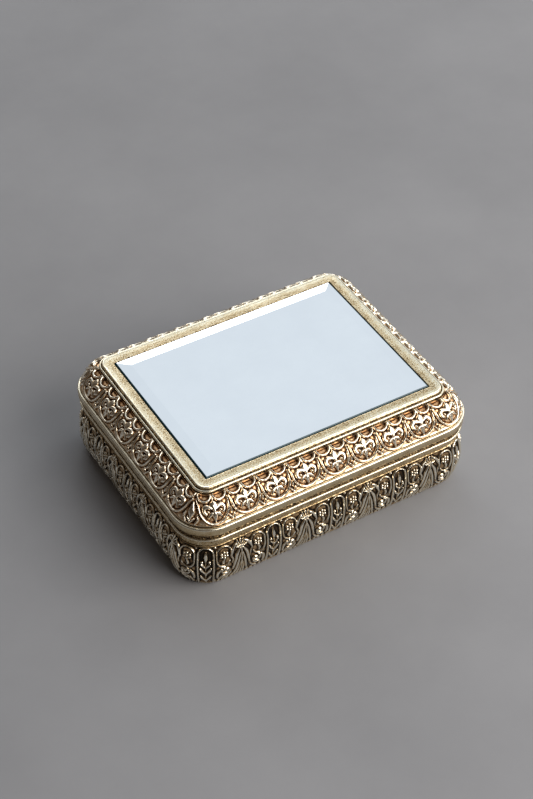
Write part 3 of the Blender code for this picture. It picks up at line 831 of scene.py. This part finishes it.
# Very dark green-blue: the glass's own tint with the shade of the gap round the plate painted in.
GLASS_EDGE_STOPS = ((0.3, (0.003, 0.028, 0.040)), (0.7, (0.010, 0.075, 0.100)))
FLOOR_STOPS = ((0.3, (0.250, 0.252, 0.264)), (0.7, (0.305, 0.307, 0.320)))
SKY_STOPS = (
    (0.0, (0.055, 0.044, 0.035)),
    (0.40, (0.100, 0.084, 0.070)),
    (0.72, (0.26, 0.235, 0.215)),
    (0.92, (0.74, 0.81, 0.88)),
    (1.0, (0.78, 0.85, 0.92)),
)


def gilt(name, stops, levels, patches, speckle, roughness, dents):
    """Gilding whose colour and gloss follow the relief: dark in its recesses, partly patina and partly
    painted shade, and worn pale on its edges.

    levels are the shares of the relief and of the cavity, and what is added to them.
    """
    mat, tree, shader = new_material(name)
    coords = object_coords(tree)
    relief = node(tree, "ShaderNodeAttribute", attribute_name="relief").outputs["Fac"]
    cavity = node(tree, "ShaderNodeAttribute", attribute_name="cavity").outputs["Fac"]
    clouds = noise(tree, coords, 260, 5)
    specks = noise(tree, coords, 2300, 4, 0.65)
    level = maths(tree, "MULTIPLY_ADD", relief, levels[0], levels[2])
    # The cavity share paints crevices dark as shade over their patina, and lightens ridges as rubbed wear.
    level = maths(tree, "MULTIPLY_ADD", cavity, levels[1], level)
    level = maths(tree, "ADD", level, scaled(tree, clouds, -patches, patches))
    # Random speckle in the tone: grain, and on the box's rim also painted glints.
    level = maths(tree, "ADD", level, scaled(tree, specks, -speckle, speckle), clamp=True)
    link(tree, ramp(tree, level, stops), shader.inputs["Base Color"])
    link(tree, scaled(tree, level, *roughness), shader.inputs["Roughness"])
    link(tree, scaled(tree, level, 0.8, 1.0), shader.inputs["Metallic"])
    bump(tree, shader, maths(tree, "ADD", specks, clouds), dents, 0.00006)
    return mat


def lid_gilt():
    return gilt("lid_chased_gilt", GILT_STOPS, (0.28, 0.85, 0.60), 0.14, 0.2, (0.50, 0.22), 0.25)


def box_gilt():
    return gilt("box_chased_gilt", BOX_STOPS, (0.42, 0.95, 0.29), 0.24, 0.3, (0.48, 0.2), 0.3)


def moulded_gilt(name, patches, speckle):
    return gilt(name, MOULDING_STOPS, (1.0, 0.0, 0.0), patches, speckle, (0.5, 0.26), 0.2)


def velvet(name):
    """Short-pile wine velvet: dark into the pile, with a sheen and pressed patches."""
    mat, tree, shader = new_material(name)
    coords = object_coords(tree)
    pile = noise(tree, coords, 5200, 3, 0.7)
    pressed = noise(tree, coords, 90, 4)
    mixed = maths(tree, "MULTIPLY_ADD", pile, 0.5, maths(tree, "MULTIPLY", pressed, 0.5))
    link(tree, ramp(tree, mixed, VELVET_STOPS), shader.inputs["Base Color"])
    shader.inputs["Roughness"].default_value = 0.9
    shader.inputs["Sheen Weight"].default_value = 0.8
    shader.inputs["Sheen Roughness"].default_value = 0.35
    shader.inputs["Sheen Tint"].default_value = (0.95, 0.45, 0.52, 1.0)
    bump(tree, shader, pile, 0.5, 0.00012)
    return mat


def felt(name):
    mat, tree, shader = new_material(name)
    coords = object_coords(tree)
    fibres = noise(tree, coords, 3000, 6, 0.75)
    tufts = noise(tree, coords, 380, 4)
    mixed = maths(tree, "MULTIPLY_ADD", fibres, 0.6, maths(tree, "MULTIPLY", tufts, 0.4))
    link(tree, ramp(tree, mixed, FELT_STOPS), shader.inputs["Base Color"])
    shader.inputs["Roughness"].default_value = 0.95
    shader.inputs["Sheen Weight"].default_value = 0.4
    bump(tree, shader, fibres, 0.6, 0.00015)
    return mat


def card(name):
    mat, tree, shader = new_material(name)
    coords = object_coords(tree)
    fibres = noise(tree, coords, 1400, 6, 0.7)
    link(tree, ramp(tree, fibres, CARD_STOPS), shader.inputs["Base Color"])
    shader.inputs["Roughness"].default_value = 0.88
    bump(tree, shader, fibres, 0.3, 0.00008)
    return mat


def metal(name, dark, pale, roughness, stretch=(1, 1, 1)):
    """Plain worked metal with fine drawing marks along one direction."""
    mat, tree, shader = new_material(name)
    mapping = node(tree, "ShaderNodeMapping")
    mapping.inputs["Scale"].default_value = stretch
    link(tree, object_coords(tree), mapping.inputs["Vector"])
    marks = noise(tree, mapping.outputs["Vector"], 900, 5, 0.65)
    link(tree, ramp(tree, marks, ((0.32, dark), (0.62, pale))), shader.inputs["Base Color"])
    shader.inputs["Metallic"].default_value = 1.0
    link(tree, scaled(tree, marks, roughness - 0.1, roughness + 0.12), shader.inputs["Roughness"])
    bump(tree, shader, marks, 0.15, 0.00004)
    return mat


def silvered(name):
    """Silvered glass, with the faintest bloom of dust and handling."""
    mat, tree, shader = new_material(name)
    haze = noise(tree, object_coords(tree), 60, 6, 0.6)
    link(tree, ramp(tree, haze, SILVER_STOPS), shader.inputs["Base Color"])
    shader.inputs["Metallic"].default_value = 1.0
    link(tree, scaled(tree, haze, 0.0, 0.035), shader.inputs["Roughness"])
    return mat


def glass_edge(name):
    """The ground edge of the plate: green-blue, painted very dark as the shade in the gap round it, with a
    dull gloss.
    """
    mat, tree, shader = new_material(name)
    grind = noise(tree, object_coords(tree), 2200, 4, 0.7)
    link(tree, ramp(tree, grind, GLASS_EDGE_STOPS), shader.inputs["Base Color"])
    link(tree, scaled(tree, grind, 0.12, 0.4), shader.inputs["Roughness"])
    bump(tree, shader, grind, 0.2, 0.00003)
    return mat


def stone_floor(name):
    mat, tree, shader = new_material(name)
    coords = object_coords(tree)
    clouds = noise(tree, coords, 9, 8, 0.62)
    link(tree, ramp(tree, clouds, FLOOR_STOPS), shader.inputs["Base Color"])
    shader.inputs["Roughness"].default_value = 0.8
    return mat


def finish_with(obj, *materials):
    obj.data.materials.clear()
    for mat in materials:
        obj.data.materials.append(mat)


# ---------------------------------------------------------------- the lid


def place(piece, body, slot, *nodes):
    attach(piece, body)
    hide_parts(*nodes)


def moulding(ring, outline, back, base_z, spacing, heights_of):
    """(points, attributes) of a plain moulding, toned as its section says."""
    front = spread(outline, spacing)
    section = front[:, :2]
    lift = heights_of(ring.points(section + [0, base_z]), section)
    tone = np.broadcast_to(front[:, 2], lift.shape)
    return moulded(ring, section, back, base_z, faded(lift, 4), tone, np.zeros(lift.shape))


def finish_moulding(name, points, attributes, mat, body, node_name):
    piece = swept(name, points, True, attributes, sharp=50)
    finish_with(piece, mat)
    place(piece, body, "gilt_brass", node_name)


def make_lid():
    fine = Ring(0.15, 8.5)
    outline, back = lid_frieze_section()
    front = evenly(outline, 0.135)
    heights = lid_relief(fine, front)
    mat = lid_gilt()
    for piece in frieze_pieces("lid_frieze", fine, front, back, BAND_Z, heights):
        finish_with(piece, mat)
        place(piece, "lid", "gilt_brass", "lid_frame")

    ring = Ring(0.5, 5.0)
    points, attributes = moulding(
        ring, *band_section(), BAND_Z, 0.3, lambda at, section: waves(at, 7.0) * 0.012
    )
    finish_moulding("lid_band", points, attributes, moulded_gilt("band_gilt", 0.3, 1.3), "lid", "lid_frame")

    ring = Ring(0.5, 11.6, hinge_columns(RING_TOTAL))
    points, attributes = moulding(
        ring, *lower_band_section(), BAND_Z, 0.25, lambda at, section: waves(at, 5.0) * 0.018
    )
    cut = in_notch(ring)
    points[cut, :, 2] = np.maximum(points[cut, :, 2], RIM_Z + NOTCH_UP)
    mat = moulded_gilt("lower_band_gilt", 0.3, 0.35)
    finish_moulding("lid_lower_band", points, attributes, mat, "lid", "lid_frame")


def make_mirror():
    """The glass: a lower step under the lip, an upright edge, and a wide bevel round the flat."""
    step_z = BAND_Z - 1.2
    arris_z = glass_high.z - BEVEL_DROP
    outlines = (
        (GLASS_STEP, glass_low.z),
        (GLASS_STEP, step_z),
        (-GLASS_GAP, step_z),
        (-GLASS_GAP, arris_z - 0.24),
        (-GLASS_GAP - ARRIS_WIDTH, arris_z + 0.02),
        (-GLASS_GAP - BEVEL_WIDTH, glass_high.z),
    )
    signs = ((-1, -1), (1, -1), (1, 1), (-1, 1))
    points = np.array([[(sx * (HALF_X + o), sy * (HALF_Y + o), z) for sx, sy in signs] for o, z in outlines])
    index = np.arange(len(outlines) * 4).reshape(-1, 4)
    quads = [
        (low[k], low[(k + 1) % 4], high[(k + 1) % 4], high[k])
        for low, high in zip(index, index[1:])
        for k in range(4)
    ]
    quads = [tuple(index[0][::-1]), *quads, tuple(index[-1])]
    loops = np.concatenate([np.array(q) for q in quads])
    glass = mesh_object("mirror_plate", points.reshape(-1, 3), loops, np.arange(len(quads)) * 4)
    finish_with(glass, glass_edge("glass_edge"), silvered("silvered_glass"))
    for polygon in glass.data.polygons:
        polygon.material_index = int(polygon.normal.z > 0.95 and polygon.center.z > arris_z * MM)
    place(glass, "lid", "mirror_silver", "mirror_glass")


# ---------------------------------------------------------------- the box


def make_box():
    fine = Ring(0.17, 11.5)
    outline, back = body_frieze_section()
    front = evenly(outline, 0.155)
    heights = body_relief(fine, front)
    mat = box_gilt()
    for piece in frieze_pieces("box_frieze", fine, front, back, RIM_Z, heights):
        finish_with(piece, mat)
        place(piece, "box", "gilt_brass", "body_shell")

    ring = Ring(0.38, 11.6, hinge_columns(RING_TOTAL))

    def grains(at, section):
        ledge = (section[:, 0] > 11.15) & (section[:, 1] > -1.7)
        return waves(at, 0.62, 40, 9) * 0.11 * ledge + waves(at, 5.0) * 0.015

    points, attributes = moulding(ring, *rim_section(), RIM_Z, 0.2, grains)
    cut = in_notch(ring)
    points[cut, :, 2] = np.minimum(points[cut, :, 2], RIM_Z - NOTCH_DOWN)
    # The rim's strong speckle paints dark grain and bright specks that stand for glints of light on its
    # grainy ledge.
    finish_moulding("box_rim", points, attributes, moulded_gilt("rim_gilt", 0.3, 0.9), "box", "body_shell")


# ---------------------------------------------------------------- linings


def outline_points(ring, offset, count):
    """Points evenly along each quarter of an outline, from the middle of one corner to the next."""
    found = []
    for side in range(4):
        columns = ring.side_columns(side)
        line = ring.base[columns] + ring.normal[columns] * offset
        run = run_length(line)
        at = np.linspace(0, run[-1], count + 1)[:-1]
        found.append(np.stack([np.interp(at, run, line[:, 0]), np.interp(at, run, line[:, 1])], 1))
    return np.concatenate(found)


PAD_CELLS = 44


def pad_cage(name, low, high, up, inset):
    """A thin closed pad of quads: a square grid drawn out to the outline, doubled and joined at its edge."""
    offset = high.x - HALF_X - inset
    rim = outline_points(Ring(0.5, offset), offset, PAD_CELLS)
    size = PAD_CELLS + 1
    lines = np.sin(np.linspace(-1, 1, size) * math.pi / 2)
    u, v = np.meshgrid(lines, lines, indexing="ij")
    share = np.maximum(np.abs(u), np.abs(v))
    turned = np.stack([u, v], -1) / np.maximum(share, 1e-9)[..., None]
    across, deep = turned[..., 0], turned[..., 1]
    along = np.select(
        [np.isclose(deep, -1), np.isclose(across, 1), np.isclose(deep, 1)],
        [(across + 1) / 2, (deep + 1) / 2 + 1, (1 - across) / 2 + 2],
        (1 - deep) / 2 + 3,
    )
    place_at = (along * PAD_CELLS) % (4 * PAD_CELLS)
    steps = np.arange(4 * PAD_CELLS + 1)
    closed = np.vstack([rim, rim[:1]])
    xy = np.stack([np.interp(place_at, steps, closed[:, k]) for k in (0, 1)], -1) * share[..., None]
    thick = (high.z - low.z) * 0.6
    still = low.z if up > 0 else high.z
    rise = np.sqrt(np.clip(1 - share**6, 0, 1)) * thick
    edge_z = still + up * thick * 0.35
    upper = np.where(share > 0.999, edge_z, np.maximum(rise, thick * 0.35) * up + still)
    lower = np.where(share > 0.999, edge_z, still)
    grid = np.arange(size * size).reshape(size, size)
    on_edge = np.isclose(share, 1)
    second = grid + size * size
    second[on_edge] = grid[on_edge]
    quads = []
    for sheet, turn in ((grid, 1), (second, -1)):
        cells = np.stack([sheet[:-1, :-1], sheet[1:, :-1], sheet[1:, 1:], sheet[:-1, 1:]], -1).reshape(-1, 4)
        quads.append(cells[:, ::turn * int(up)])
    quads = np.concatenate(quads)
    points = np.concatenate([np.dstack([xy, upper]).reshape(-1, 3), np.dstack([xy, lower]).reshape(-1, 3)])
    used, index = np.unique(quads, return_inverse=True)
    quads = index.reshape(-1, 4)
    return mesh_object(name, points[used], quads.ravel(), np.arange(len(quads)) * 4)


def cushion(name, node_name, up, mat, body):
    """A velvet pad, swollen by a cloth simulation and drawn in by a line of stitching round it."""
    low, high = (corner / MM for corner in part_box(node_name))
    pad = pad_cage(name, low, high, up, 0.3)
    swell(pad, low, high, up)
    seam(pad, high.x - HALF_X - 3.2, up, low, high)
    pad.data.shade_smooth()
    finish_with(pad, mat)
    place(pad, body, "wine_velvet", node_name)


CLOTH_SCALE = 10  # the cloth is simulated this many times its size, where its settings are steady
SWELL_CAP = 1.2


def swell(pad, low, high, up):
    """Blows a pad up with Blender's cloth, keeping its flat side still and its points within the cap."""
    mesh = pad.data
    rest = np.empty(len(mesh.vertices) * 3)
    mesh.vertices.foreach_get("co", rest)
    rest = rest.reshape(-1, 3)
    mesh.transform(Matrix.Scale(CLOTH_SCALE, 4))
    held = pad.vertex_groups.new(name="held")
    flat_z = (low.z if up > 0 else high.z) * MM
    for vertex, place_z in enumerate(rest[:, 2]):
        if abs(place_z - flat_z) < 0.35 * MM:
            held.add([vertex], 1.0, "REPLACE")
    cloth = pad.modifiers.new("Swell", "CLOTH")
    settings = cloth.settings
    settings.quality = 6
    settings.mass = 0.3
    settings.tension_stiffness = 12
    settings.compression_stiffness = 12
    settings.bending_stiffness = 1.2
    settings.use_pressure = True
    settings.uniform_pressure_force = 4.0
    settings.vertex_group_mass = "held"
    settings.effector_weights.gravity = 0.0
    cloth.collision_settings.use_collision = False
    cloth.point_cache.frame_start = 1
    cloth.point_cache.frame_end = 20
    scene = bpy.context.scene
    for step in range(1, 21):
        scene.frame_set(step)
    graph = bpy.context.evaluated_depsgraph_get()
    moved = np.empty(len(rest) * 3)
    swollen = pad.evaluated_get(graph).to_mesh()
    swollen.vertices.foreach_get("co", moved)
    pad.evaluated_get(graph).to_mesh_clear()
    moved = moved.reshape(-1, 3) / CLOTH_SCALE
    pad.modifiers.remove(cloth)
    pad.vertex_groups.clear()
    scene.frame_set(1)
    shift = moved - rest
    length = np.linalg.norm(shift, axis=1, keepdims=True)
    shift *= np.minimum(1, SWELL_CAP * MM / np.maximum(length, 1e-9))
    result = rest + shift
    result[:, 2] = np.clip(result[:, 2], low.z * MM, high.z * MM)
    limit = np.array([high.x, high.y]) * MM
    result[:, :2] = np.clip(result[:, :2], -limit, limit)
    mesh.vertices.foreach_set("co", result.ravel())
    mesh.update()


def seam(pad, offset, up, low, high):
    """Draws the cover in along a line of stitching parallel to the pad's edge."""
    subdivide(pad, 2)
    mesh = pad.data
    co = np.empty(len(mesh.vertices) * 3)
    mesh.vertices.foreach_get("co", co)
    co = co.reshape(-1, 3) / MM
    over = np.maximum(np.abs(co[:, :2]) - [HALF_X, HALF_Y], 0)
    inner = np.minimum(np.maximum(np.abs(co[:, 0]) - HALF_X, np.abs(co[:, 1]) - HALF_Y), 0)
    grown = np.hypot(*over.T) + inner
    middle = (low.z + high.z) / 2
    face = np.clip((co[:, 2] - middle) * up / (high.z - low.z) * 4, 0, 1)
    along = np.arctan2(co[:, 1], co[:, 0]) * 60
    pull = np.exp(-(((grown - offset) / 0.5) ** 2)) * (0.32 + 0.07 * np.sin(along * 4))
    dimples = waves(co, 9.0, 24, 17) * 0.05
    co[:, 2] -= up * face * (pull - dimples * 0.6)
    co[:, 2] = np.clip(co[:, 2], low.z, high.z)
    mesh.vertices.foreach_set("co", (co * MM).ravel())
    mesh.update()


def subdivide(obj, levels):
    modifier = obj.modifiers.new("Subdivide", "SUBSURF")
    modifier.levels = levels
    modifier.render_levels = levels
    graph = bpy.context.evaluated_depsgraph_get()
    mesh = bpy.data.meshes.new_from_object(obj.evaluated_get(graph))
    obj.modifiers.remove(modifier)
    old = obj.data
    name = old.name
    obj.data = mesh
    bpy.data.meshes.remove(old)
    mesh.name = name


def make_linings():
    pile = velvet("wine_velvet")
    cushion("velvet_floor_pad", "floor_pad", 1, pile, "box")
    cushion("velvet_lid_pad", "lid_pad", -1, pile, "lid")

    low, high = (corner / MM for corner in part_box("wall_lining"))
    outer = high.x - HALF_X
    ring = Ring(0.6, outer)
    roll = 0.5
    inner = outer - 2 * roll
    outline = [(inner, low.z), (inner, high.z - 1.9), (inner + 0.16, high.z - 1.72), (inner, high.z - 1.5)]
    outline += [tuple(p) for p in arc((outer - roll, high.z - roll), roll, 180, 0, 10)]
    outline += [(outer, low.z)]
    front = spread(outline, 0.5)
    folds = waves(ring.points(front), 12.0, 24, 23) * 0.05
    joint = np.exp(-(((ring.s - ring.total_s * 0.5) / 0.35) ** 2)) * np.isclose(ring.a, math.pi)
    heights = -np.abs(folds) - 0.18 * joint[:, None]
    heights[:, front[:, 0] > outer - roll] = 0
    points = ring.points(front, heights)
    lining = swept("velvet_wall_lining", points, True, sharp=80)
    finish_with(lining, pile)
    place(lining, "box", "wine_velvet", "wall_lining")


def make_felt():
    """The felt under the box, a soft-edged sheet with a slightly uneven outline."""
    low, high = (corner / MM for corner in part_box("base_felt"))
    outer = high.x - HALF_X
    ring = Ring(0.5, outer)
    rim = curve([(outer - 0.25, low.z), (outer - 0.04, (low.z + high.z) / 2), (outer - 0.25, high.z)], 4)
    section = np.array([(4.0, low.z), (outer - 1.2, low.z), *rim, (outer - 1.2, high.z), (4.0, high.z)])
    wander = waves(ring.points(section), 3.0, 24, 31) * 0.04
    wander[:, section[:, 0] < outer - 1.0] = 0
    points = ring.points(section)
    shift = np.minimum(wander, 0.03)
    points[..., :2] += ring.normal[:, None, :] * shift[..., None]
    columns, rows = points.shape[:2]
    index = np.arange(columns * rows).reshape(columns, rows)
    following = np.roll(index, -1, axis=0)
    quads = np.stack([index[:, :-1], following[:, :-1], following[:, 1:], index[:, 1:]], -1).reshape(-1, 4)
    caps = [index[:, 0][::-1], index[:, -1]]
    loops = np.concatenate([quads.ravel(), *caps])
    starts = np.concatenate([np.arange(len(quads)) * 4, len(quads) * 4 + np.arange(2) * columns])
    sheet = mesh_object("felt_sheet", points.reshape(-1, 3), loops, starts)
    sheet.data.shade_smooth()
    sheet.data.set_sharp_from_angle(angle=math.radians(60))
    finish_with(sheet, felt("green_felt"))
    place(sheet, "box", "green_felt", "base_felt")


# ---------------------------------------------------------------- CAD pieces that stay


def dress_cad_nodes():
    steel = metal("screw_steel", (0.36, 0.35, 0.33), (0.66, 0.65, 0.62), 0.34, (1, 1, 6))
    brass = metal("sheet_brass", (0.36, 0.25, 0.11), (0.64, 0.50, 0.27), 0.4, (0.3, 4, 4))
    hinge = metal("hinge_gilt", (0.34, 0.24, 0.12), (0.72, 0.58, 0.34), 0.34, (0.4, 3, 3))
    board = card("grey_card")
    looks = {
        "base_screw": steel, "hinge_pin": steel, "clip_screw": steel, "base_plate": brass,
        "mirror_clip": brass, "lid_rivet": brass, "body_rivet": brass, "hinge_body_leaf": hinge,
        "hinge_lid_leaf": hinge, "floor_card": board, "lid_card": board, "mirror_backing": board,
    }
    for name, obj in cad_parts.items():
        for start, mat in looks.items():
            if name.startswith(start):
                finish_with(obj, mat)


# ---------------------------------------------------------------- floor, light and camera


def make_floor():
    half = 1.6
    mesh = bpy.data.meshes.new("floor")
    corners = [(-half, -half, 0), (half, -half, 0), (half, half, 0), (-half, half, 0)]
    mesh.from_pydata(corners, [], [(0, 1, 2, 3)])
    floor = bpy.data.objects.new("floor", mesh)
    bpy.context.scene.collection.objects.link(floor)
    finish_with(floor, stone_floor("grey_stone"))


def from_angles(azimuth, elevation):
    """A direction from the box: azimuth turns from the front towards the right."""
    a, e = math.radians(azimuth), math.radians(elevation)
    return Vector((math.sin(a) * math.cos(e), -math.cos(a) * math.cos(e), math.sin(e)))


def soft_box(name, azimuth, elevation, distance, width, height, power, colour):
    light = bpy.data.lights.new(name, "AREA")
    light.shape = "RECTANGLE"
    light.size = width
    light.size_y = height
    light.energy = power
    light.color = colour
    obj = bpy.data.objects.new(name, light)
    away = from_angles(azimuth, elevation)
    obj.location = away * distance
    obj.rotation_euler = away.to_track_quat("Z", "Y").to_euler()
    bpy.context.scene.collection.objects.link(obj)


def make_light():
    """A room that is brightest behind on the right, and three soft boxes: front right, right and behind."""
    bpy.context.scene.view_settings.view_transform = "Standard"
    world = bpy.data.worlds.new("pale_studio")
    bpy.context.scene.world = world
    world.use_nodes = True
    tree = world.node_tree
    background = tree.nodes["Background"]
    towards = node(tree, "ShaderNodeVectorMath", operation="DOT_PRODUCT")
    link(tree, node(tree, "ShaderNodeTexCoord").outputs["Generated"], towards.inputs[0])
    towards.inputs[1].default_value = from_angles(134, 46)
    link(tree, ramp(tree, towards.outputs["Value"], SKY_STOPS), background.inputs["Color"])
    soft_box("window", 36, 36, 0.9, 0.95, 0.62, 8.9, (1.0, 0.96, 0.92))
    soft_box("far_card", 164, 26, 1.0, 0.66, 0.3, 2.0, (1.0, 1.0, 1.0))
    soft_box("side", 100, 30, 1.0, 0.5, 0.5, 1.2, (1.0, 0.99, 0.97))


CAMERA_AZIMUTH = -32.064
CAMERA_ELEVATION = 43.579
CAMERA_ROLL = 1.46
CAMERA_DISTANCE = 0.61649
LENS = 85.0


def make_camera():
    """The camera looks at a point of the mirror's plane a little to the front left of its middle."""
    target = Vector((-0.00741, -0.00947, BAND_Z * MM))
    away = from_angles(CAMERA_AZIMUTH, CAMERA_ELEVATION)
    right = Vector((0, 0, 1)).cross(away).normalized()
    up = away.cross(right)
    roll = math.radians(CAMERA_ROLL)
    tilted_right = right * math.cos(roll) + up * math.sin(roll)
    tilted_up = up * math.cos(roll) - right * math.sin(roll)
    data = bpy.data.cameras.new("camera")
    data.lens = LENS
    data.sensor_width = 36.0
    data.clip_start = 0.01
    camera = bpy.data.objects.new("camera", data)
    turn = Matrix((tilted_right, tilted_up, away)).transposed().to_4x4()
    camera.matrix_world = Matrix.Translation(target + away * CAMERA_DISTANCE) @ turn
    bpy.context.scene.collection.objects.link(camera)
    bpy.context.scene.camera = camera


make_camera()
make_lid()
make_mirror()
make_box()
make_linings()
make_felt()
dress_cad_nodes()
make_floor()
make_light()
